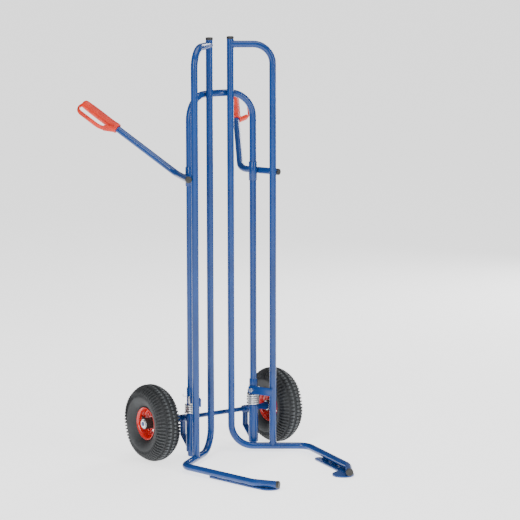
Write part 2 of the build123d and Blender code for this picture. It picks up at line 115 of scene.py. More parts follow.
class Graph:
    """One material's node tree, with a single way of adding nodes."""

    def __init__(self, name: str) -> None:
        """Start an empty material called name."""
        self.material = bpy.data.materials.new(name)
        self.material.use_nodes = True
        self.tree = self.material.node_tree
        self.tree.nodes.clear()

    def node(self, kind: str, settings: Optional[dict] = None,
             inputs: Optional[dict] = None) -> bpy.types.Node:
        """Add a node.

        Args:
            kind: The node's Blender type.
            settings: Its own properties, set before its sockets. A ramp's stops go under "stops".
            inputs: Socket name or number to a value or another node's Wire.

        Returns:
            The new node.
        """
        made = self.tree.nodes.new(kind)
        for key, value in (settings or {}).items():
            if key == "stops":
                self._stops(made, value)
            else:
                setattr(made, key, value)
        for key, value in (inputs or {}).items():
            if isinstance(value, Wire):
                self.tree.links.new(value.socket, made.inputs[key])
            else:
                made.inputs[key].default_value = value
        return made

    @staticmethod
    def _stops(ramp: bpy.types.Node, stops: Sequence[tuple]) -> None:
        """Give a ramp its stops, each a place and a grey value."""
        elements = ramp.color_ramp.elements
        while len(elements) < len(stops):
            elements.new(0.5)
        for element, (place, grey) in zip(elements, stops):
            element.position = place
            element.color = (grey, grey, grey, 1)

    def wire(self, kind: str, output: Union[str, int], settings: Optional[dict] = None,
             inputs: Optional[dict] = None) -> "Wire":
        """Add a node and take one of its outputs.

        Args:
            kind: The node's Blender type.
            output: Which output.
            settings: As for node.
            inputs: As for node.

        Returns:
            The output, ready for arithmetic.
        """
        return Wire(self, self.node(kind, settings, inputs).outputs[output])


class Wire:
    """A socket that takes part in Python arithmetic by adding Math nodes."""

    def __init__(self, graph: Graph, socket: bpy.types.NodeSocket) -> None:
        """Wrap a graph's output socket."""
        self.graph = graph
        self.socket = socket

    def _math(self, operation: str, *values: Union["Wire", Number], clamp: bool = False) -> "Wire":
        """Add a Math node of one operation on the values given."""
        settings = {"operation": operation, "use_clamp": clamp}
        return self.graph.wire("ShaderNodeMath", 0, settings, dict(enumerate(values)))

    def __add__(self, other: Union["Wire", Number]) -> "Wire":
        """Sum."""
        return self._math("ADD", self, other)

    __radd__ = __add__

    def __mul__(self, other: Union["Wire", Number]) -> "Wire":
        """Product."""
        return self._math("MULTIPLY", self, other)

    __rmul__ = __mul__

    def __sub__(self, other: Union["Wire", Number]) -> "Wire":
        """Difference."""
        return self._math("SUBTRACT", self, other)

    def __rsub__(self, other: Number) -> "Wire":
        """A number less this value."""
        return self._math("SUBTRACT", other, self)

    def clamped(self) -> "Wire":
        """The value kept between 0 and 1."""
        return self._math("ADD", self, 0.0, clamp=True)

    def step(self, low: float, high: float) -> "Wire":
        """A smooth rise from 0 at low to 1 at high."""
        settings = {"interpolation_type": "SMOOTHSTEP"}
        inputs = {"Value": self, "From Min": low, "From Max": high}
        return self.graph.wire("ShaderNodeMapRange", "Result", settings, inputs)


class Surface(Graph):
    """A material with the patterns that this truck's finishes share."""

    def __init__(self, name: str) -> None:
        """Start a material whose patterns are laid in object space."""
        super().__init__(name)
        self.place = self.wire("ShaderNodeTexCoord", "Object")

    def noise(self, scale: float, detail: float = 2.0, roughness: float = 0.5,
              stretch: Sequence[float] = (1, 1, 1)) -> Wire:
        """Cloudy noise.

        Args:
            scale: Lumps to the metre.
            detail: Octaves.
            roughness: Share of each finer octave.
            stretch: Scale along each axis, for brushed or rolled marks.

        Returns:
            The noise, from 0 to 1.
        """
        place = self.place
        if tuple(stretch) != (1, 1, 1):
            place = self.wire("ShaderNodeMapping", "Vector", {}, {"Vector": place, "Scale": tuple(stretch)})
        inputs = {"Vector": place, "Scale": scale, "Detail": detail, "Roughness": roughness}
        return self.wire("ShaderNodeTexNoise", "Fac", {}, inputs)

    def cells(self, scale: float) -> Wire:
        """Distance to the nearest point of a scatter, scale points to the metre."""
        return self.wire("ShaderNodeTexVoronoi", "Distance", {}, {"Vector": self.place, "Scale": scale})

    def height(self) -> Wire:
        """Height above the floor, in metres."""
        return self.wire("ShaderNodeSeparateXYZ", "Z", {}, {"Vector": self.place})

    def mix(self, share: Union[Wire, float], first: Union[Wire, Sequence[float]],
            second: Union[Wire, Sequence[float]]) -> Wire:
        """Blend two colours.

        Args:
            share: How much of the second.
            first: Colour or wire at 0.
            second: Colour or wire at 1.

        Returns:
            The blended colour.
        """
        inputs = {0: share, 6: self._colour(first), 7: self._colour(second)}
        return self.wire("ShaderNodeMix", 2, {"data_type": "RGBA"}, inputs)

    @staticmethod
    def _colour(value: Union[Wire, Sequence[float]]) -> Union[Wire, tuple]:
        """A colour with its alpha, or the wire as it is."""
        return value if isinstance(value, Wire) else (*value, 1.0)

    def bumps(self, relief: Wire, depth: float) -> Wire:
        """Turn a relief from 0 to 1 into a normal, depth metres from lowest to highest."""
        inputs = {"Height": relief, "Distance": depth, "Strength": 1.0}
        return self.wire("ShaderNodeBump", "Normal", {}, inputs)

    def finish(self, colour: Wire, roughness: Wire, normal: Wire, **fixed: float) -> bpy.types.Material:
        """Join the finish to its output.

        Args:
            colour: Base colour.
            roughness: Roughness.
            normal: Normal.
            fixed: Shader sockets that are the same all over, with spaces as underscores.

        Returns:
            The material.
        """
        inputs = {"Base Color": colour, "Roughness": roughness, "Normal": normal}
        inputs.update({key.replace("_", " "): value for key, value in fixed.items()})
        shader = self.wire("ShaderNodeBsdfPrincipled", "BSDF", {}, inputs)
        self.node("ShaderNodeOutputMaterial", {}, {"Surface": shader})
        return self.material


# ---------------------------------------------------------------- finishes


@dataclass(frozen=True)
class PowderCoat:
    """Baked blue powder coat: faint orange peel, uneven in gloss, dusty and scuffed near the floor."""

    name: str = "blue_powder_coat"
    colour: tuple = (0.0042, 0.047, 0.215)
    deep: tuple = (0.0030, 0.036, 0.170)
    dust: tuple = (0.12, 0.18, 0.30)
    peel_scale: float = 620.0
    peel_depth: float = 0.00001
    scuff_top: float = 0.035

    def build(self) -> bpy.types.Material:
        """Make the material.

        Returns:
            The material.
        """
        made = Surface(self.name)
        cloud = made.noise(9.0, 3.0)
        speck = made.noise(900.0, 1.0)
        colour = made.mix(cloud.step(0.35, 0.7), self.colour, self.deep)
        colour = made.mix(speck.step(0.66, 0.8) * 0.04, colour, self.dust)
        low = 1 - made.height().step(0.0, self.scuff_top)
        scuff = (made.noise(160.0, 4.0, 0.7, (1, 0.25, 1)).step(0.56, 0.72) * low).clamped()
        colour = made.mix(scuff * 0.35, colour, self.dust)
        roughness = cloud * 0.10 + 0.20 + scuff * 0.25
        peel = made.noise(self.peel_scale, 2.0, 0.4)
        return made.finish(colour, roughness, made.bumps(peel, self.peel_depth),
                           Coat_Weight=0.15, Coat_Roughness=0.08, IOR=1.45)


@dataclass(frozen=True)
class RimEnamel:
    """Glossy red stove enamel on pressed steel."""

    name: str = "red_rim_enamel"
    colour: tuple = (0.66, 0.010, 0.004)
    deep: tuple = (0.42, 0.005, 0.003)
    peel_scale: float = 420.0
    peel_depth: float = 0.00001

    def build(self) -> bpy.types.Material:
        """Make the material.

        Returns:
            The material.
        """
        made = Surface(self.name)
        cloud = made.noise(40.0, 3.0)
        colour = made.mix(cloud.step(0.45, 0.8), self.colour, self.deep)
        peel = made.noise(self.peel_scale, 2.0, 0.4)
        return made.finish(colour, cloud * 0.12 + 0.18, made.bumps(peel, self.peel_depth),
                           Coat_Weight=0.5, Coat_Roughness=0.06, IOR=1.5)


@dataclass(frozen=True)
class MouldedPlastic:
    """Moulded plastic with a fine spark-eroded grain and a slightly cloudy colour."""

    name: str
    colour: tuple
    deep: tuple
    roughness: float
    grain_scale: float = 1500.0
    grain_depth: float = 0.000012

    def build(self) -> bpy.types.Material:
        """Make the material.

        Returns:
            The material.
        """
        made = Surface(self.name)
        cloud = made.noise(28.0, 3.0)
        grain = made.noise(self.grain_scale, 2.0, 0.6)
        colour = made.mix(cloud.step(0.3, 0.75), self.colour, self.deep)
        roughness = cloud * 0.12 + grain * 0.08 + self.roughness
        return made.finish(colour, roughness, made.bumps(grain, self.grain_depth), IOR=1.46)


@dataclass(frozen=True)
class Rubber:
    """Vulcanised rubber: a tyre's block tops are greyer than its grooves and sidewalls, partly for rubbed
    wear and dust and partly as a painted highlight of the light falling on the tops.
    """

    name: str
    centre: tuple
    tread_r: float
    colour: tuple = (0.018, 0.020, 0.022)
    # grey of the block tops: rubbed wear and dust, with a painted highlight
    worn_and_lit: tuple = (0.100, 0.110, 0.115)
    wear_and_light_band: float = 0.0022
    grain_depth: float = 0.0001

    def build(self) -> bpy.types.Material:
        """Make the material.

        Returns:
            The material.
        """
        made = Surface(self.name)
        arm = made.wire("ShaderNodeVectorMath", "Vector", {"operation": "SUBTRACT"},
                        {0: made.place, 1: self.centre})
        flat = made.wire("ShaderNodeVectorMath", "Vector", {"operation": "MULTIPLY"},
                         {0: arm, 1: (0, 1, 1)})
        reach = made.wire("ShaderNodeVectorMath", "Value", {"operation": "LENGTH"}, {0: flat})
        cloud = made.noise(75.0, 4.0, 0.65)
        dust = made.noise(18.0, 2.0)
        # the block tops, picked by their distance from the axle, are lightened partly for wear and dust and
        # partly as a painted highlight where the light falls on them
        tread = reach.step(self.tread_r - self.wear_and_light_band, self.tread_r)
        worn_and_lit = (tread * 0.85 + cloud.step(0.5, 0.9) * 0.22 + dust.step(0.45, 0.8) * 0.16).clamped()
        colour = made.mix(worn_and_lit, self.colour, self.worn_and_lit)
        grain = made.noise(900.0, 3.0, 0.7)
        relief = grain * 0.7 + cloud * 0.3
        roughness = cloud * 0.2 + 0.56 + tread * 0.12
        return made.finish(colour, roughness, made.bumps(relief, self.grain_depth), IOR=1.52)


@dataclass(frozen=True)
class BareMetal:
    """Bright metal: zinc plate with its faint spangle, or ground bearing steel."""

    name: str
    colour: tuple
    deep: tuple
    roughness: float
    spangle_scale: float = 260.0
    grain_depth: float = 0.00001

    def build(self) -> bpy.types.Material:
        """Make the material.

        Returns:
            The material.
        """
        made = Surface(self.name)
        spangle = made.cells(self.spangle_scale)
        cloud = made.noise(120.0, 3.0)
        colour = made.mix((spangle * 0.6 + cloud * 0.5).clamped(), self.colour, self.deep)
        grain = made.noise(2200.0, 2.0, 0.6)
        roughness = cloud * 0.16 + self.roughness
        return made.finish(colour, roughness, made.bumps(grain, self.grain_depth), Metallic=1.0)


@dataclass(frozen=True)
class FloorPaper:
    """Pale studio paper, with a trace of tooth."""

    name: str = "studio_paper"
    colour: tuple = (0.93, 0.93, 0.935)
    shade: tuple = (0.90, 0.90, 0.905)
    tooth_depth: float = 0.0001
    glow: float = 1.6

    def build(self) -> bpy.types.Material:
        """Make the material.

        Returns:
            The material.
        """
        made = Surface(self.name)
        tooth = made.noise(40.0, 3.0)
        colour = made.mix(tooth, self.colour, self.shade)
        return made.finish(colour, tooth * 0.1 + 0.75, made.bumps(tooth, self.tooth_depth), IOR=1.3,
                           Emission_Color=(1, 1, 1, 1), Emission_Strength=self.glow)


# ---------------------------------------------------------------- the modeller's bench


class Bench:
    """Blender's own modelling tools, called in the order a modeller uses them."""

    @staticmethod
    def clear() -> None:
        """Leave edit mode and deselect everything."""
        if bpy.context.object and bpy.context.object.mode != "OBJECT":
            bpy.ops.object.mode_set(mode="OBJECT")
        bpy.ops.object.select_all(action="DESELECT")

    @staticmethod
    def take(name: str) -> bpy.types.Object:
        """Name the primitive just added and settle its place into its mesh."""
        piece = bpy.context.object
        piece.name = name
        piece.data.name = name
        bpy.ops.object.transform_apply(location=True, rotation=True, scale=True)
        return piece

    @classmethod
    def pick(cls, piece: bpy.types.Object) -> None:
        """Make one piece the only selected and active one."""
        cls.clear()
        piece.select_set(True)
        bpy.context.view_layer.objects.active = piece

    @classmethod
    def edit(cls, piece: bpy.types.Object) -> None:
        """Open a piece in edit mode with nothing selected."""
        cls.pick(piece)
        bpy.ops.object.mode_set(mode="EDIT")
        bpy.ops.mesh.select_all(action="DESELECT")

    @staticmethod
    def choose_faces(piece: bpy.types.Object, wanted: Callable[[Vector], bool]) -> None:
        """Select the faces whose centre is wanted.

        Args:
            piece: The piece, in edit mode.
            wanted: Tells from a face's centre whether to select it.
        """
        bpy.ops.mesh.select_mode(type="FACE")
        bpy.ops.mesh.select_all(action="DESELECT")
        mesh = bmesh.from_edit_mesh(piece.data)
        for face in mesh.faces:
            if wanted(face.calc_center_median()):
                face.select_set(True)
        bmesh.update_edit_mesh(piece.data)

    @staticmethod
    def keep_points(piece: bpy.types.Object, wanted: Callable[[Vector], bool]) -> None:
        """Narrow a selection to the points that are wanted.

        Args:
            piece: The piece, in edit mode.
            wanted: Tells from a point's place whether to keep it selected.
        """
        bpy.ops.mesh.select_mode(type="VERT")
        mesh = bmesh.from_edit_mesh(piece.data)
        for point in mesh.verts:
            if point.select and not wanted(point.co):
                point.select_set(False)
        mesh.select_flush_mode()
        bmesh.update_edit_mesh(piece.data)

    @staticmethod
    def close(piece: bpy.types.Object) -> None:
        """Merge doubles, turn the faces outwards and leave edit mode."""
        bpy.ops.mesh.select_all(action="SELECT")
        bpy.ops.mesh.remove_doubles(threshold=MERGE)
        bpy.ops.mesh.normals_make_consistent(inside=False)
        bpy.ops.object.mode_set(mode="OBJECT")

    @classmethod
    def modify(cls, piece: bpy.types.Object, kind: str, **settings: object) -> None:
        """Add one modifier and apply it.

        Args:
            piece: The piece.
            kind: The modifier's type.
            settings: Its properties.
        """
        cls.pick(piece)
        modifier = piece.modifiers.new(kind.title(), kind)
        for key, value in settings.items():
            setattr(modifier, key, value)
        bpy.ops.object.modifier_apply(modifier=modifier.name)

    @classmethod
    def smooth(cls, piece: bpy.types.Object, degrees: float = 40.0) -> None:
        """Shade a piece smooth, except across edges sharper than degrees."""
        cls.pick(piece)
        bpy.ops.object.shade_smooth_by_angle(angle=math.radians(degrees))

    @classmethod
    def join(cls, pieces: Sequence[bpy.types.Object], name: str) -> bpy.types.Object:
        """Join pieces into the first of them, under a new name."""
        cls.clear()
        for piece in pieces:
            piece.select_set(True)
        bpy.context.view_layer.objects.active = pieces[0]
        if len(pieces) > 1:
            bpy.ops.object.join()
        pieces[0].name = name
        return pieces[0]

    @staticmethod
    def copy(piece: bpy.types.Object, name: str) -> bpy.types.Object:
        """Copy a piece with its own mesh."""
        twin = piece.copy()
        twin.data = piece.data.copy()
        twin.name = name
        bpy.context.scene.collection.objects.link(twin)
        return twin

    @classmethod
    def mirrored(cls, piece: bpy.types.Object, name: str) -> bpy.types.Object:
        """Copy a right-hand piece to the left of the middle plane, its faces outwards."""
        twin = cls.copy(piece, name)
        twin.data.transform(Matrix.Scale(-1, 4, AXLE_WAY))
        twin.data.flip_normals()
        return twin

    @classmethod
    def turned(cls, name: str, outline: Sequence[tuple], centre: Vector, way: Vector, out: Vector,
               steps: int) -> bpy.types.Object:
        """Draw an outline point by point and spin it about an axis.

        Args:
            name: The piece's name.
            outline: Points of (distance along the axis, radius).
            centre: Where the axis is at distance 0.
            way: The axis.
            out: Direction of the radius that the outline is drawn on.
            steps: Faces round the axis.

        Returns:
            The turned piece.
        """
        points = [centre + way * along + out * radius for along, radius in outline]
        cls.clear()
        bpy.ops.mesh.primitive_plane_add(size=0.001, location=points[0])
        piece = cls.take(name)
        bpy.ops.object.mode_set(mode="EDIT")
        bpy.ops.mesh.select_mode(type="VERT")
        bpy.ops.mesh.merge(type="CENTER")
        for here, there in zip(points, points[1:]):
            bpy.ops.mesh.extrude_region_move(TRANSFORM_OT_translate={"value": there - here})
        bpy.ops.mesh.select_all(action="SELECT")
        bpy.ops.mesh.spin(steps=steps, angle=TURN, center=centre, axis=way)
        cls.close(piece)
        return piece

    @classmethod
    def scattered(cls, name: str, model: bpy.types.Object, stations: Iterable[Matrix]) -> bpy.types.Object:
        """Copy a small model along stations and join the copies. The model itself is used up.

        Args:
            name: The joined piece's name.
            model: What is copied, made about the origin.
            stations: The place and turn of each copy.

        Returns:
            The joined piece.
        """
        made = []
        for station in stations:
            drop = cls.copy(model, name)
            drop.data.transform(station)
            made.append(drop)
        bpy.data.objects.remove(model)
        return cls.join(made, name)


class Rod:
    """A bar drawn out from its end face: straight runs, bends and coils."""

    def __init__(self, name: str, foot: Vector, way: Vector, radius: float, sides: int = 16,
                 flat: Optional[tuple] = None, up: Vector = UP) -> None:
        """Add the end face.

        Args:
            name: The piece's name.
            foot: Middle of the end face.
            way: Direction in which the bar leaves it.
            radius: Half thickness.
            sides: Corners of the section.
            flat: Half width and half height of a flat bar's section, instead of a round one.
            up: The direction of a flat bar's half height.
        """
        Bench.clear()
        side = up.cross(way).normalized()
        turn = Matrix((side, way.cross(side), way)).transposed().to_euler()
        bpy.ops.mesh.primitive_circle_add(vertices=sides, radius=radius, fill_type="NGON")
        self.piece = bpy.context.object
        if flat:
            self.piece.scale = (flat[0] / radius, flat[1] / radius, 1)
        self.piece.rotation_euler = turn
        self.piece.location = foot
        Bench.take(name)
        bpy.ops.object.mode_set(mode="EDIT")
        bpy.ops.mesh.select_mode(type="FACE")
        bpy.ops.mesh.select_all(action="SELECT")
        self.tip = foot.copy()
        self.way = way.normalized()

    def straight(self, length: float, cuts: int = 1) -> "Rod":
        """Draw the bar straight on, in a number of cuts."""
        for _ in range(cuts):
            bpy.ops.mesh.extrude_region_move(TRANSFORM_OT_translate={"value": self.way * (length / cuts)})
        self.tip = self.tip + self.way * length
        return self

    def bend(self, towards: Vector, radius: float, angle: float, steps: int = 8) -> "Rod":
        """Bend the bar.

        Args:
            towards: Roughly where the bend's centre lies from the bar.
            radius: The bend's centreline radius.
            angle: How far it turns.
            steps: Faces along the bend.

        Returns:
            The rod itself.
        """
        side = (towards - self.way * towards.dot(self.way)).normalized()
        centre = self.tip + side * radius
        axis = self.way.cross(side)
        bpy.ops.mesh.spin(steps=steps, angle=-angle, center=centre, axis=axis)
        turn = Matrix.Rotation(angle, 3, axis)
        self.tip = centre + turn @ (self.tip - centre)
        self.way = turn @ self.way
        return self

    def coil(self, centre: Vector, turns: float, rise: float, steps: int) -> "Rod":
        """Wind the bar about an upright axis, anticlockwise seen from above.

        Args:
            centre: A point of the axis.
            turns: How many turns.
            rise: Height gained over them all.
            steps: Faces to the turn.

        Returns:
            The rod itself.
        """
        total = round(turns * steps)
        angle = TURN * turns / total
        for _ in range(total):
            bpy.ops.mesh.spin(steps=1, angle=-angle, center=centre, axis=UP)
            bpy.ops.transform.translate(value=UP * (rise / total))
        turn = Matrix.Rotation(TURN * turns, 3, UP)
        self.tip = centre + turn @ (self.tip - centre) + UP * rise
        self.way = turn @ self.way
        return self

    def dome(self, radius: float) -> "Rod":
        """Round the end off with two shrinking rings."""
        for share, size in ((0.6, 0.8), (0.4, 0.45)):
            push = self.way * (radius * share * 0.6)
            bpy.ops.mesh.extrude_region_move(TRANSFORM_OT_translate={"value": push})
            bpy.ops.transform.resize(value=(size,) * 3, center_override=self.tip + self.way * radius * 0.4)
        return self

    def done(self) -> bpy.types.Object:
        """Close the bar's mesh and hand it over."""
        Bench.close(self.piece)
        return self.piece


def arc(start: tuple, through: tuple, end: tuple, steps: int) -> list[tuple]:
    """Points of the arc through three points, its start left out.

    Args:
        start: First point.
        through: A point between.
        end: Last point.
        steps: How many points.

    Returns:
        The points, with the end last.
    """
    ax, ay, bx, by, cx, cy = *start, *through, *end
    d = 2 * (ax * (by - cy) + bx * (cy - ay) + cx * (ay - by))
    a2, b2, c2 = ax * ax + ay * ay, bx * bx + by * by, cx * cx + cy * cy
    ux = (a2 * (by - cy) + b2 * (cy - ay) + c2 * (ay - by)) / d
    uy = (a2 * (cx - bx) + b2 * (ax - cx) + c2 * (bx - ax)) / d
    radius = math.hypot(ax - ux, ay - uy)
    first, middle, last = (math.atan2(y - uy, x - ux) for x, y in (start, through, end))
    sweep = (last - first) % TURN
    if (middle - first) % TURN > sweep:
        sweep -= TURN
    angles = [first + sweep * (step + 1) / steps for step in range(steps)]
    return [(ux + radius * math.cos(angle), uy + radius * math.sin(angle)) for angle in angles]


# ---------------------------------------------------------------- where things stand


@dataclass(frozen=True)
class Layout:
    """The right-hand side's main places, from the truck's driving sizes, in metres."""

    leg_x: float = 0.1275
    leg_y: float = 0.0778
    toe_in: float = math.radians(35.7)
    plane_front: float = 0.0439
    inner_along: float = -0.0739
    outer_along: float = 0.0671
    toe_along: float = 0.185
    bar_z: float = 1.385
    low_z: float = 0.0195
    tube_r: float = 0.0115
    sleeve_r: float = 0.01405
    prong_in: float = math.radians(11.2)

    @property
    def leg(self) -> Vector:
        """The right leg's axis, on the floor."""
        return Vector((self.leg_x, self.leg_y, 0))

    @property
    def along(self) -> Vector:
        """Along the right gripper's plane, outwards."""
        return Vector((math.cos(self.toe_in), -math.sin(self.toe_in), 0))

    @property
    def prong_way(self) -> Vector:
        """Along the right prong, forwards."""
        return Vector((-math.sin(self.prong_in), -math.cos(self.prong_in), 0))

    def gripper(self, distance: float, height: float) -> Vector:
        """A point of the right gripper's plane."""
        front = Vector((-math.sin(self.toe_in), -math.cos(self.toe_in), 0)) * self.plane_front
        return self.leg + front + self.along * distance + UP * height

    def tangent(self, leg_reach: float, outer_reach: float, side: int) -> tuple[Vector, Vector, Vector]:
        """The line that passes the leg and the outer tube at two distances.

        Args:
            leg_reach: Its distance from the leg's axis.
            outer_reach: Its distance from the outer tube's axis.
            side: +1 outside, -1 inside.

        Returns:
            Its foot beside the leg, its direction to the outer tube, and its normal.
        """
        reach = self.gripper(self.outer_along, 0) - self.leg
        straight = reach.normalized()
        square = Vector((-straight.y, straight.x, 0)) * side
        lean = math.asin((leg_reach - outer_reach) / reach.length)
        normal = square * math.cos(lean) + straight * math.sin(lean)
        return self.leg + normal * leg_reach, straight * math.cos(lean) - square * math.sin(lean), normal


PLACES = Layout()


class Piece:
    """Hands a finished piece to its body and gives it its slot's finish."""

    def __init__(self, finishes: dict[Slot, bpy.types.Material]) -> None:
        """Keep the finishes by slot."""
        self.finishes = finishes

    def dress(self, piece: bpy.types.Object, slot: Slot, body: Optional[str],
              *nodes: str) -> bpy.types.Object:
        """Finish a piece.

        Args:
            piece: The piece, already at the origin.
            slot: Its slot.
            body: The CAD body that it rides on, or None where it is left unattached.
            nodes: The CAD nodes that it stands for.

        Returns:
            The piece.
        """
        piece.data.materials.clear()
        piece.data.materials.append(self.finishes[slot])
        if body:
            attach(piece, body)
        if nodes:
            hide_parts(*nodes)
        log.info("%s: %d faces, slot %s, stands for %s", piece.name, len(piece.data.polygons), slot.value,
                 ", ".join(nodes) or "nothing")
        return piece

    def both(self, piece: bpy.types.Object, slot: Slot, body: str, *nodes: str) -> None:
        """Finish a right-hand piece and its mirror image.

        Args:
            piece: The right-hand piece, named without its side.
            slot: Its slot.
            body: The body's name without its side, or frame.
            nodes: The CAD nodes' names without their side.
        """
        name = piece.name
        twin = Bench.mirrored(piece, f"left_{name}")
        piece.name = f"right_{name}"
        for side, made in ((Side.RIGHT, piece), (Side.LEFT, twin)):
            rides = body if body == "frame" else f"{side.value}_{body}"
            self.dress(made, slot, rides, *(f"{side.value}_{node}" for node in nodes))


# ---------------------------------------------------------------- wheels


@dataclass
class Tyre:
    """Block-pattern pneumatic tyre: two middle rows of square blocks and two rows of shoulder blocks that
    run down the sidewalls as ribs."""

    centre: Vector
    radius: float
    half_w: float = 0.0425
    wall: float = 0.007
    depth: float = 0.0056
    pitches: int = 62
    columns: int = 4
    middle_columns: int = 3
    shoulder_columns: int = 2
    shoulder: tuple = (0.0355, 0.114)
    waist_r: float = 0.0895
    bead: tuple = (0.0214, 0.0565)
    foot_r: float = 0.0491
    cavity_half: float = 0.0134
    rib_foot_r: float = 0.0925
    crown_marks: tuple = (0.0, 0.0045, 0.0085, 0.0125, 0.0165, 0.0205, 0.0240, 0.0280, 0.0318)
    middle_row: tuple = (0.0045, 0.0165)
    shoulder_row: float = 0.0205
    inset: float = 0.0005
    soft_edge: float = 0.0006
    tube_share: float = 0.97
    tube_steps: int = 96
    ramp: tuple = ((0.0345, 0.1098), (0.0366, 0.1056), (0.0383, 0.1008), (0.0398, 0.0962))
    cord: tuple = (0.066, 0.0018, 0.0006)
    bead_flat: float = 0.006
    tapers: tuple = ((0.009, 0.45), (0.004, 0.35))

    def crown(self, x: float, under: float) -> tuple:
        """A point of the crown's arc, a depth under the tread."""
        rise = self.radius - self.shoulder[1]
        curve = (self.shoulder[0] ** 2 + rise**2) / (2 * rise)
        middle = self.radius - curve
        return (x, middle + math.sqrt((curve - under) ** 2 - x * x))

    def half_outline(self) -> list[tuple]:
        """The carcass from the crown's middle to the bead's foot on the +x side."""
        crown = [self.crown(x, self.depth) for x in self.crown_marks]
        side = arc(self.shoulder, (self.half_w, self.waist_r), self.bead, 22)
        low = [point for point in side if point[1] < self.rib_foot_r]
        cord_r, cord_half, cord_h = self.cord
        rim_cord = [(x + cord_h if abs(r - cord_r) < cord_half else x, r) for x, r in low]
        return [*crown, *self.ramp, *rim_cord, (self.bead[0], self.foot_r)]

    def cavity(self) -> list[tuple]:
        """The inner wall from the bead's foot to the crown's middle on the +x side."""
        foot = (self.cavity_half, self.foot_r + self.bead_flat)
        wall = arc(foot, (self.half_w - self.wall, self.waist_r),
                   (self.shoulder[0] - self.wall, self.shoulder[1] - self.wall * 0.8), 8)
        return [(self.cavity_half, self.foot_r), foot, *wall, (0.0, self.radius - self.wall - 0.001)]

    def build(self) -> bpy.types.Object:
        """Model the right-hand tyre.

        Returns:
            The piece.
        """
        outside, inside = self.half_outline(), self.cavity()
        ring = outside + inside
        other = [(-x, r) for x, r in reversed(ring[1:-1])]
        outline = [*ring, *other, ring[0]]
        piece = Bench.turned("tyre", outline, self.centre, AXLE_WAY, UP, self.pitches * self.columns)
        Bench.edit(piece)
        self.raise_blocks(piece, self.in_middle_row)
        self.raise_blocks(piece, self.in_shoulder_row)
        bpy.ops.object.mode_set(mode="OBJECT")
        Bench.modify(piece, "BEVEL", width=self.soft_edge, segments=1, limit_method="ANGLE",
                     angle_limit=math.radians(38), use_clamp_overlap=True)
        Bench.smooth(piece, 50)
        return piece

    def tube(self) -> bpy.types.Object:
        """Model the right-hand inner tube, blown up against the tyre's inner wall.

        Returns:
            The piece.
        """
        half = self.cavity()[1:]
        ring = half + [(-x, r) for x, r in reversed(half[:-1])]
        middle = sum(r for _, r in ring) / len(ring)
        ring = [(x * self.tube_share, middle + (r - middle) * self.tube_share) for x, r in ring]
        piece = Bench.turned("inner_tube", [*ring, ring[0]], self.centre, AXLE_WAY, UP, self.tube_steps)
        Bench.smooth(piece, 50)
        return piece

    def polar(self, spot: Vector) -> tuple[float, float, int]:
        """A place as its distance from the wheel's middle plane, radius and column round the tyre."""
        arm = spot - self.centre
        share = (math.atan2(arm.y, arm.z) / TURN) % 1.0
        return arm.x, math.hypot(arm.y, arm.z), int(share * self.pitches * self.columns)

    def in_block(self, column: int, shift: int, width: int) -> bool:
        """Whether a column is part of a block width columns long, in a row that starts shift columns on."""
        return (column + shift) % self.columns < width

    def in_middle_row(self, spot: Vector) -> bool:
        """Whether a face's centre is on a middle block."""
        x, r, column = self.polar(spot)
        low, high = self.middle_row
        ours = low < abs(x) < high and r > self.shoulder[1]
        return ours and self.in_block(column, 0 if x > 0 else 2, self.middle_columns)

    def in_shoulder_row(self, spot: Vector) -> bool:
        """Whether a face's centre is on a shoulder block or its rib."""
        x, r, column = self.polar(spot)
        ours = abs(x) > self.shoulder_row and r > self.rib_foot_r
        return ours and self.in_block(column, 2 if x > 0 else 0, self.shoulder_columns)

    def raise_blocks(self, piece: bpy.types.Object, wanted: Callable[[Vector], bool]) -> None:
        """Raise blocks out of the carcass and taper the ribs' lower ends.

        Args:
            piece: The tyre, in edit mode.
            wanted: Tells which faces are the blocks'.
        """
        Bench.choose_faces(piece, wanted)
        bpy.ops.mesh.inset(thickness=self.inset, depth=0, use_boundary=True, use_even_offset=True)
        bpy.ops.mesh.extrude_region_shrink_fatten(TRANSFORM_OT_shrink_fatten={"value": self.depth})
        for height, share in self.tapers:
            top = self.rib_foot_r + height
            Bench.keep_points(piece, lambda spot, top=top: self.polar(spot)[1] < top)
            bpy.ops.transform.shrink_fatten(value=-self.depth * share)


@dataclass
class RimHalf:
    """Half of a two-piece rim, pressed from sheet: a disc with three windows, a well and a rolled flange."""

    name: str
    centre: Vector
    out: int
    sheet: float = 0.0024
    sectors: int = 72
    window_r: tuple = (0.0230, 0.0400)
    window_start: float = math.radians(30)
    window_half: float = math.radians(44)
    windows: int = 3
    outline: tuple = (
        (0.0014, 0.0187), (0.0014, 0.0205), (0.0014, 0.0230), (0.0014, 0.0285), (0.0014, 0.0345),
        (0.0014, 0.0400), (0.0014, 0.0425), (0.0024, 0.0448), (0.0048, 0.0470), (0.0080, 0.0477),
        (0.0140, 0.0477), (0.0190, 0.0477), (0.0222, 0.0487), (0.0248, 0.0512), (0.0264, 0.0535),
        (0.0277, 0.0542),
    )

    def in_window(self, spot: Vector) -> bool:
        """Whether a face's centre is in one of the windows."""
        arm = spot - self.centre
        reach = math.hypot(arm.y, arm.z)
        bearing = math.atan2(-arm.y, arm.z) - self.window_start
        pitch = TURN / self.windows
        off = abs((bearing + pitch / 2) % pitch - pitch / 2)
        return self.window_r[0] < reach < self.window_r[1] and off < self.window_half

    def build(self) -> bpy.types.Object:
        """Model the right-hand rim half.

        Returns:
            The piece.
        """
        outline = [(self.out * x, r) for x, r in self.outline]
        piece = Bench.turned(self.name, outline, self.centre, AXLE_WAY, UP, self.sectors)
        Bench.edit(piece)
        Bench.choose_faces(piece, self.in_window)
        bpy.ops.mesh.delete(type="FACE")
        bpy.ops.object.mode_set(mode="OBJECT")
        Bench.modify(piece, "SOLIDIFY", thickness=self.sheet, offset=0, use_even_offset=True)
        Bench.modify(piece, "SUBSURF", levels=1, render_levels=1)
        Bench.smooth(piece, 60)
        return piece


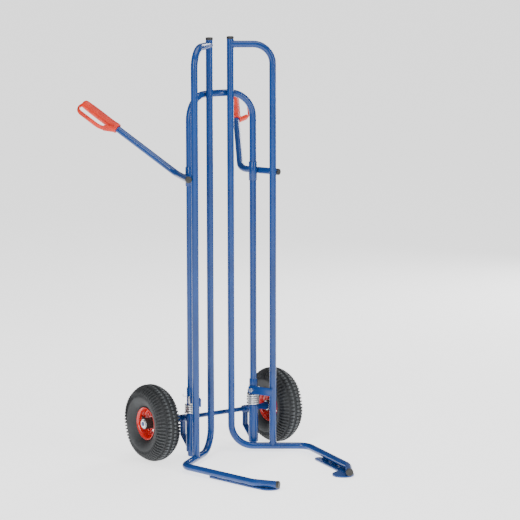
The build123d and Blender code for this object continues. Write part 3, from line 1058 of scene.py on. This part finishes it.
class Wheels:
    """Both wheels' tyres and rims, round the CAD hubs."""

    def __init__(self, kit: Piece) -> None:
        """Take the wheel's place and size from the frame."""
        low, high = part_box("right_tyre")
        self.kit = kit
        self.centre = (low + high) / 2
        self.radius = (high.z - low.z) / 2

    def build(self) -> None:
        """Model, mirror and dress the tyres and rim halves."""
        tyre = Tyre(self.centre, self.radius)
        self.kit.both(tyre.build(), Slot.TYRE, "wheel", "tyre")
        self.kit.both(tyre.tube(), Slot.BUTYL, "wheel", "inner_tube")
        self.kit.both(RimHalf("rim_outer", self.centre, 1).build(), Slot.RIM, "wheel", "rim_outer")
        self.kit.both(RimHalf("rim_inner", self.centre, -1).build(), Slot.RIM, "wheel", "rim_inner")


# ---------------------------------------------------------------- springs


@dataclass
class TorsionSpring:
    """Bright coil round the leg's collar, its upper arm beside the sleeve and its tail at the bracket."""

    foot_z: float
    wire_r: float = 0.003
    coil_r: float = 0.01785
    turns: float = 4.6
    pitch: float = 0.00728
    azimuth: float = math.radians(-55)
    arm: float = 0.021
    arm_bend: float = 0.005
    tail: float = 0.012
    sides: int = 16
    steps: int = 36

    def build(self) -> bpy.types.Object:
        """Model the right-hand spring.

        Returns:
            The piece.
        """
        axis = PLACES.leg + UP * (self.foot_z + self.wire_r)
        angle = self.azimuth - TURN * self.turns
        out = Vector((math.cos(angle), math.sin(angle), 0))
        way = Vector((-math.sin(angle), math.cos(angle), 0))
        start = axis + out * self.coil_r
        rod = Rod("torsion_spring", start - way * self.tail, way, self.wire_r, self.sides)
        rod.straight(self.tail, 3)
        rod.coil(axis, self.turns, self.pitch * self.turns, self.steps)
        rod.bend(UP, self.arm_bend, math.radians(90), 8)
        rod.straight(self.arm, 4)
        rod.dome(self.wire_r)
        piece = rod.done()
        Bench.smooth(piece, 50)
        return piece


class Springs:
    """Both torsion springs, which twist between the frame and the grippers."""

    def __init__(self, kit: Piece) -> None:
        """Take the coil's heights from the frame."""
        self.kit = kit
        self.foot_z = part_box("right_torsion_spring")[0].z
        self.top_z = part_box("right_lower_sleeve")[0].z

    def build(self) -> None:
        """Model, mirror and dress the springs, attached to no body."""
        right = TorsionSpring(self.foot_z).build()
        left = Bench.mirrored(right, "left_torsion_spring")
        right.name = "right_torsion_spring"
        for side, piece in ((Side.RIGHT, right), (Side.LEFT, left)):
            self.kit.dress(piece, Slot.ZINC, None, f"{side.value}_torsion_spring")
            spot = Vector((PLACES.leg_x * side.sign, PLACES.leg_y, 0))
            spot + UP * self.foot_z
            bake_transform(piece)


# ---------------------------------------------------------------- grips


@dataclass
class HandGrip:
    """Moulded D-grip: a swelled barrel over the handle tube, and a ribbed guard round the knuckles."""

    mouth: Vector = field(default_factory=lambda: Vector((0.2409, 0.3414, 1.097)))
    way: Vector = field(default_factory=lambda: Vector((0.43115, 0.723493, 0.539136)))
    lean: Vector = field(default_factory=lambda: Vector((0.90, -0.35, -0.28)))
    length: float = 0.155
    bore_r: float = 0.0112
    bore_l: float = 0.1185
    drop: float = 0.0505
    half_w: float = 0.0088
    half_t: float = 0.0034
    start: tuple = (0.009, 0.014)
    knee: tuple = (0.038, 0.0505)
    knee_r: float = 0.040
    far: float = 0.1490
    far_r: float = 0.024
    web_start: tuple = (0.0056, 0.0122)
    web_end: tuple = (0.031, 0.0385)
    web_half_w: float = 0.0118
    web_half_t: float = 0.0076
    voxel: float = 0.0011
    rib_span: tuple = (0.060, 0.126)
    rib_count: int = 19
    rib_size: tuple = (0.0016, 0.0140, 0.0016)

    def __post_init__(self) -> None:
        """Square the guard's direction to the grip."""
        self.way = self.way.normalized()
        self.guard = (self.lean - self.way * self.lean.dot(self.way)).normalized()
        self.across = self.way.cross(self.guard)

    def at(self, along: float, off: float) -> Vector:
        """A point of the grip's middle plane."""
        return self.mouth + self.way * along + self.guard * off

    def barrel(self) -> bpy.types.Object:
        """The barrel, with its collar, its swell and the bore for the handle tube.

        Returns:
            The turned barrel.
        """
        outline = [(self.bore_l, 0.0), (self.bore_l, self.bore_r), (0, self.bore_r), (0, 0.0165),
                   (0.0015, 0.0173), (0.009, 0.0172), (0.016, 0.0163), (0.030, 0.0156), (0.055, 0.0157),
                   (0.080, 0.0161), (0.105, 0.0159), (0.130, 0.0153)]
        outline += arc((0.141, 0.0149), (0.1508, 0.0115), (self.length, 0.0), 7)
        return Bench.turned("grip", outline, self.mouth, self.way, self.guard, 48)

    def loop(self) -> bpy.types.Object:
        """The guard, a flat bar bent from the mouth round to the grip's far end.

        Returns:
            The bar.
        """
        start, knee = self.at(*self.start), self.at(*self.knee)
        rise = (knee - start).normalized()
        turn = rise.angle(self.way)
        cut = self.knee_r * math.tan(turn / 2)
        rod = Rod("guard", start, rise, self.half_t, 28, (self.half_w, self.half_t), self.across.cross(rise))
        rod.straight((knee - start).length - cut, 6)
        rod.bend(-self.guard, self.knee_r, turn, 8)
        rod.straight(self.far - self.far_r - (self.knee[0] + cut), 12)
        rod.bend(-self.guard, self.far_r, math.radians(90), 12)
        rod.straight(self.drop - self.far_r - 0.006, 4)
        return rod.done()

    def web(self) -> bpy.types.Object:
        """The fillet between the collar and the guard's root.

        Returns:
            The wedge.
        """
        start, end = self.at(*self.web_start), self.at(*self.web_end)
        rise = (end - start).normalized()
        size = (self.web_half_w, self.web_half_t)
        rod = Rod("web", start, rise, self.web_half_t, 28, size, self.across.cross(rise))
        rod.straight((end - start).length, 4).dome(self.web_half_t)
        return rod.done()

    def ribs(self) -> bpy.types.Object:
        """The small ribs across the guard's outer face.

        Returns:
            The joined ribs.
        """
        Bench.clear()
        bpy.ops.mesh.primitive_cube_add(size=1, scale=self.rib_size)
        rib = Bench.take("rib")
        Bench.modify(rib, "BEVEL", width=0.0006, segments=2)
        low, high = self.rib_span
        turn = Matrix((self.way, self.across, self.guard)).transposed().to_4x4()
        places = [self.at(low + (high - low) * k / (self.rib_count - 1), self.drop + self.half_t - 0.0004)
                  for k in range(self.rib_count)]
        return Bench.scattered("ribs", rib, [Matrix.Translation(place) @ turn for place in places])

    def build(self) -> bpy.types.Object:
        """Model the right-hand grip.

        Returns:
            The piece.
        """
        piece = Bench.join([self.barrel(), self.loop(), self.web()], "grip")
        Bench.modify(piece, "REMESH", mode="VOXEL", voxel_size=self.voxel)
        Bench.modify(piece, "SMOOTH", factor=0.5, iterations=6)
        Bench.smooth(piece, 60)
        ribs = self.ribs()
        Bench.smooth(ribs, 50)
        return Bench.join([piece, ribs], "grip")


# ---------------------------------------------------------------- welds


@dataclass
class WeldBead:
    """Welds laid as rows of small overlapping drops, under the paint."""

    drop_r: float = 0.0019
    pitch: float = 0.0016

    def line(self, start: Vector, end: Vector) -> list[Matrix]:
        """Drops along a straight seam."""
        count = max(2, round((end - start).length / self.pitch))
        way = end - start
        return [self.station(start + way * (k / count), way) for k in range(count + 1)]

    def ring(self, centre: Vector, axis: Vector, radius: float, start: Optional[Vector] = None,
             sweep: float = TURN) -> list[Matrix]:
        """Drops round a seam.

        Args:
            centre: The ring's middle.
            axis: Its axis.
            radius: Its radius.
            start: Direction of its first drop; any where it goes all the way round.
            sweep: How far it goes.

        Returns:
            One station for each drop.
        """
        first = (start or axis.orthogonal()).normalized()
        count = max(2, round(radius * sweep / self.pitch))
        made = []
        for k in range(count + (sweep < TURN)):
            out = Matrix.Rotation(sweep * k / count, 3, axis) @ first
            made.append(self.station(centre + out * radius, axis.cross(out)))
        return made

    def saddle(self, meet: Vector, main: Vector, branch: Vector, radius: float) -> list[Matrix]:
        """Drops round the joint of two tubes of one radius.

        Args:
            meet: Where their axes cross.
            main: Direction of the tube that runs on.
            branch: Direction in which the other leaves it.
            radius: Their radius.

        Returns:
            One station for each drop.
        """
        side = main.cross(branch).normalized()
        across = branch.cross(side).normalized()

        def spot(angle: float) -> Vector:
            """The joint's curve."""
            off = across * math.cos(angle) + side * math.sin(angle)
            return meet + off * radius + branch * (radius * abs(math.cos(angle)))

        count = round(TURN * radius * 1.2 / self.pitch)
        angles = [TURN * k / count for k in range(count)]
        return [self.station(spot(angle), spot(angle + 0.05) - spot(angle)) for angle in angles]

    @staticmethod
    def station(spot: Vector, way: Vector) -> Matrix:
        """A drop's place, its short axis along the seam."""
        return Matrix.Translation(spot) @ way.to_track_quat("X", "Z").to_matrix().to_4x4()

    def lay(self, name: str, stations: Sequence[Matrix]) -> bpy.types.Object:
        """Lay the drops.

        Args:
            name: The welds' name.
            stations: Where.

        Returns:
            The joined drops.
        """
        Bench.clear()
        bpy.ops.mesh.primitive_ico_sphere_add(subdivisions=2, radius=self.drop_r, scale=(0.75, 1, 1))
        drop = Bench.take("drop")
        made = Bench.scattered(name, drop, stations)
        Bench.smooth(made, 80)
        return made


@dataclass
class Welds:
    """The truck's welded seams."""

    kit: Piece
    bead: WeldBead = field(default_factory=WeldBead)
    lug_near: float = 0.0052
    lug_far: float = 0.0050
    lug_end: float = 0.002
    sink: float = 0.0008
    handle_r: float = 0.011
    handle_rise: float = 0.0055
    handle_sink: float = 0.92
    handle_half: float = 0.0065
    stitch_places: tuple = (0.146, 0.215, 0.284)
    stitch_off: float = 0.0056
    stitch_half: float = 0.013
    collar_sink: float = 0.0003
    collar_lift: float = 0.0012
    collar_r: float = 0.01645
    strap_half: float = 0.010
    strap_lift: float = 0.0004
    strap_drops: tuple = (0.0002, 0.0052)
    strap_foot: float = 0.0055
    axle_r: float = 0.0075
    axle_lift: float = 0.0006

    def gripper(self) -> list[Matrix]:
        """Seams of the right gripper.

        Returns:
            One station for each drop.
        """
        at, bead, r = PLACES.gripper, self.bead, PLACES.tube_r
        made = bead.saddle(at(PLACES.inner_along, PLACES.bar_z), UP, PLACES.along, r)
        made += bead.saddle(at(PLACES.outer_along, PLACES.low_z), PLACES.along, UP, r)
        lug_low, lug_high = (corner.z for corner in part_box("right_hinge_lug"))
        foot, way, normal = PLACES.tangent(PLACES.sleeve_r, r, -1)
        reach = (at(PLACES.outer_along, 0) - PLACES.leg).dot(way)
        for along in (self.lug_near, reach - self.lug_far, reach + self.lug_far):
            back = foot + way * along - normal * self.sink
            made += bead.line(back + UP * (lug_low + self.lug_end), back + UP * (lug_high - self.lug_end))
        handle_r = self.handle_r
        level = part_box("right_handle_cap")[0].z + handle_r
        foot, way, normal = PLACES.tangent(PLACES.sleeve_r + handle_r, r + handle_r, 1)
        reach = (at(PLACES.outer_along, 0) - PLACES.leg).dot(way)
        for along in (0.0, reach):
            for rise in (-self.handle_rise, self.handle_rise):
                middle = foot + way * along - normal * handle_r * self.handle_sink + UP * (level + rise)
                made += bead.line(middle - way * self.handle_half, middle + way * self.handle_half)
        return made

    def stitches(self) -> list[Matrix]:
        """Seams between the right blade and its prong.

        Returns:
            One station for each drop.
        """
        way = PLACES.prong_way
        inward = Vector((way.y, -way.x, 0))
        toe = PLACES.gripper(PLACES.toe_along, 0)
        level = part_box("right_blade")[1].z - self.sink
        made = []
        for along in self.stitch_places:
            for side in (-self.stitch_off, self.stitch_off):
                spot = toe + way * along + inward * side + UP * level
                made += self.bead.line(spot - way * self.stitch_half, spot + way * self.stitch_half)
        return made

    def frame(self) -> list[Matrix]:
        """Seams of the right leg's collar, bracket and axle.

        Returns:
            One station for each drop.
        """
        leg, bead = PLACES.leg, self.bead
        low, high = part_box("right_axle_bracket")
        axle = (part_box("axle")[0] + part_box("axle")[1]) / 2
        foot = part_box("right_spring_collar")[0].z
        made = bead.ring(leg + UP * (foot - self.collar_sink), UP, PLACES.tube_r + self.collar_lift)
        half = math.asin(self.strap_half / self.collar_r)
        back = Vector((0, 1, 0))
        start = Matrix.Rotation(-half, 3, UP) @ back
        for height in (*(high.z - drop for drop in self.strap_drops), low.z + self.strap_foot):
            made += bead.ring(leg + UP * height, UP, self.collar_r + self.strap_lift, start, 2 * half)
        for x in (leg.x - self.strap_half, leg.x + self.strap_half):
            made += bead.ring(Vector((x, axle.y, axle.z)), AXLE_WAY, self.axle_r + self.axle_lift)
        return made

    def build(self) -> None:
        """Lay, mirror and dress all the seams."""
        self.kit.both(self.bead.lay("gripper_welds", self.gripper()), Slot.PAINT, "gripper")
        self.kit.both(self.bead.lay("blade_welds", self.stitches()), Slot.PAINT, "gripper")
        self.kit.both(self.bead.lay("frame_welds", self.frame()), Slot.PAINT, "frame")


# ---------------------------------------------------------------- small fittings


@dataclass
class Fittings:
    """Fittings finished from the CAD shapes, their corners broken as on cut, turned and pressed parts."""

    kit: Piece
    softness: tuple = (
        ("blade", "gripper", Slot.PAINT, 0.0014),
        ("hinge_lug", "gripper", Slot.PAINT, 0.0008),
        ("upper_sleeve", "gripper", Slot.PAINT, 0.0006),
        ("lower_sleeve", "gripper", Slot.PAINT, 0.0006),
        ("lug_screw", "gripper", Slot.ZINC, 0.0004),
        ("axle_bracket", "frame", Slot.PAINT, 0.0009),
        ("axle_retainer", "frame", Slot.ZINC, 0.0004),
        ("hub", "wheel", Slot.PLASTIC, 0.0005),
        ("rim_bolts", "wheel", Slot.RIM, 0.0004),
        ("rim_nuts", "wheel", Slot.RIM, 0.0004),
    )
    flat: float = math.radians(0.6)
    corner: float = math.radians(35)
    pin_r: float = 0.0011
    pin_rise: float = 0.020
    pin_out: float = 0.009
    pin_sink: float = 0.001
    pin_hook_r: float = 0.0042
    pin_azimuth: float = math.radians(38)

    def softened(self, node: str, name: str, width: float) -> bpy.types.Object:
        """Copy a CAD node and round its corners.

        Args:
            node: The node.
            name: The copy's name.
            width: How far the rounding reaches.

        Returns:
            The piece.
        """
        piece = Bench.copy(frame["nodes"][node], name)
        piece.parent = None
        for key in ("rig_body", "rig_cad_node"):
            del piece[key]
        Bench.edit(piece)
        bpy.ops.mesh.customdata_custom_splitnormals_clear()
        bpy.ops.mesh.select_all(action="SELECT")
        bpy.ops.mesh.remove_doubles(threshold=MERGE)
        bpy.ops.mesh.dissolve_limited(angle_limit=self.flat)
        bpy.ops.object.mode_set(mode="OBJECT")
        Bench.modify(piece, "BEVEL", width=width, segments=2, limit_method="ANGLE", angle_limit=self.corner,
                     use_clamp_overlap=True)
        Bench.smooth(piece, 32)
        return piece

    def pin(self) -> bpy.types.Object:
        """The small hooked wire that keeps the lower sleeve down on its spring.

        Returns:
            The piece.
        """
        out = Vector((math.cos(self.pin_azimuth), math.sin(self.pin_azimuth), 0))
        foot_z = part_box("right_lower_sleeve")[0].z + self.pin_rise
        foot = PLACES.leg + out * (PLACES.sleeve_r - self.pin_sink) + UP * foot_z
        rod = Rod("sleeve_pin", foot, out, self.pin_r, 10)
        rod.straight(self.pin_out, 2).bend(UP, self.pin_hook_r, math.radians(150), 10).dome(self.pin_r)
        piece = rod.done()
        Bench.smooth(piece, 50)
        return piece

    def build(self) -> None:
        """Soften, mirror and dress the fittings."""
        for node, body, slot, width in self.softness:
            self.kit.both(self.softened(f"right_{node}", node, width), slot, body, node)
        self.kit.both(self.pin(), Slot.ZINC, "gripper")


# ---------------------------------------------------------------- studio


@dataclass
class Studio:
    """A roll of pale paper, soft light and the camera."""

    camera_at: tuple = (-4.8428, -7.0893, 2.0633)
    azimuth: float = math.radians(-34.895)
    elevation: float = math.radians(9.192)
    roll: float = math.radians(-0.076)
    lens: float = 180.99
    sensor: float = 36.0
    roll_w: float = 9.0
    roll_l: float = 50.0
    roll_shift: float = 14.0
    world: float = 0.22
    aim_z: float = 0.7
    lamps: tuple = (
        ("key_softbox", (-3.6, -2.2, 2.6), (1.2, 3.2), 120.0),
        ("fill_softbox", (1.2, -4.6, 2.2), (1.0, 3.0), 80.0),
        ("rim_softbox", (3.4, 1.6, 2.0), (1.0, 3.0), 90.0),
        ("top_softbox", (0.0, -0.4, 4.0), (2.6, 2.6), 70.0),
    )

    def floor(self, finish: bpy.types.Material) -> None:
        """Unroll the paper under the truck, away from the camera.

        Args:
            finish: The paper's.
        """
        Bench.clear()
        bpy.ops.mesh.primitive_plane_add(size=1)
        bpy.context.object.scale = (self.roll_w, self.roll_l, 1)
        bpy.context.object.location = (0, self.roll_shift, 0)
        sheet = Bench.take("paper_roll")
        sheet.data.transform(Matrix.Rotation(self.azimuth, 4, "Z"))
        sheet.data.materials.append(finish)

    def lights(self) -> None:
        """Hang the softboxes and light the surroundings."""
        for name, place, size, watts in self.lamps:
            lamp = bpy.data.lights.new(name, "AREA")
            lamp.shape = "RECTANGLE"
            lamp.size, lamp.size_y = size
            lamp.energy = watts
            made = bpy.data.objects.new(name, lamp)
            made.location = place
            aim = Vector((0, 0, self.aim_z)) - Vector(place)
            made.rotation_euler = aim.to_track_quat("-Z", "Y").to_euler()
            bpy.context.scene.collection.objects.link(made)
        world = bpy.data.worlds.new("dim_surroundings")
        world.use_nodes = True
        world.node_tree.nodes["Background"].inputs["Color"].default_value = (1, 1, 1, 1)
        world.node_tree.nodes["Background"].inputs["Strength"].default_value = self.world
        bpy.context.scene.world = world

    def camera(self) -> None:
        """Set up the camera."""
        data = bpy.data.cameras.new("camera")
        data.lens, data.sensor_width = self.lens, self.sensor
        data.clip_end = 100.0
        camera = bpy.data.objects.new("camera", data)
        across = Vector((math.cos(self.azimuth), math.sin(self.azimuth), 0))
        level = math.cos(self.elevation)
        back = Vector((math.sin(self.azimuth) * level, -math.cos(self.azimuth) * level,
                       math.sin(self.elevation)))
        turn = Matrix((across, back.cross(across), back)).transposed()
        turn = turn @ Matrix.Rotation(self.roll, 3, "Z")
        camera.matrix_world = Matrix.Translation(self.camera_at) @ turn.to_4x4()
        bpy.context.scene.collection.objects.link(camera)
        bpy.context.scene.camera = camera


# ---------------------------------------------------------------- the truck


# a tread radius out of reach: the butyl gets no lighter tops, neither wear nor painted highlight
UNWORN_UNLIT_R = 10.0
GRIP_RED = MouldedPlastic("orange_red_grip", (0.74, 0.030, 0.006), (0.54, 0.016, 0.004), 0.40)
CAP_BLACK = MouldedPlastic("black_cap_plastic", (0.018, 0.018, 0.016), (0.032, 0.031, 0.028), 0.36)
BRIGHT_ZINC = BareMetal("bright_zinc", (0.86, 0.87, 0.88), (0.62, 0.64, 0.67), 0.22)
GROUND_STEEL = BareMetal("bearing_steel", (0.72, 0.73, 0.75), (0.50, 0.51, 0.53), 0.16, 900.0)


def mix_finishes() -> dict[Slot, bpy.types.Material]:
    """Make one finish for each slot.

    Returns:
        The finishes by slot.
    """
    low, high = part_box("right_tyre")
    centre = tuple((low + high) / 2)
    radius = (high.z - low.z) / 2
    return {
        Slot.PAINT: PowderCoat().build(),
        Slot.GRIP: GRIP_RED.build(),
        Slot.PLASTIC: CAP_BLACK.build(),
        Slot.RIM: RimEnamel().build(),
        Slot.TYRE: Rubber("tyre_tread_rubber", centre, radius).build(),
        Slot.BUTYL: Rubber("butyl_rubber", centre, UNWORN_UNLIT_R).build(),
        Slot.ZINC: BRIGHT_ZINC.build(),
        Slot.STEEL: GROUND_STEEL.build(),
    }


def dress_nodes(finishes: dict[Slot, bpy.types.Material]) -> None:
    """Give every CAD node that still shows its slot's finish.

    Args:
        finishes: The finishes by slot.
    """
    for name, node in frame["nodes"].items():
        slot = Slot(node.data.materials[0].name.split(".")[0])
        node.material_slots[0].material = finishes[slot]
        if not node.hide_render:
            log.info("%s: CAD node, finish %s", name, finishes[slot].name)


def main() -> None:
    """Build the truck's pieces in order, then the studio."""
    logging.basicConfig(level=logging.INFO, format="%(message)s")
    finishes = mix_finishes()
    kit = Piece(finishes)
    Wheels(kit).build()
    Springs(kit).build()
    kit.both(HandGrip().build(), Slot.GRIP, "gripper", "grip")
    Fittings(kit).build()
    Welds(kit).build()
    dress_nodes(finishes)
    studio = Studio()
    studio.floor(FloorPaper().build())
    studio.lights()
    studio.camera()
    Bench.clear()
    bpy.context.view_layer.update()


if __name__ == "__main__":
    main()
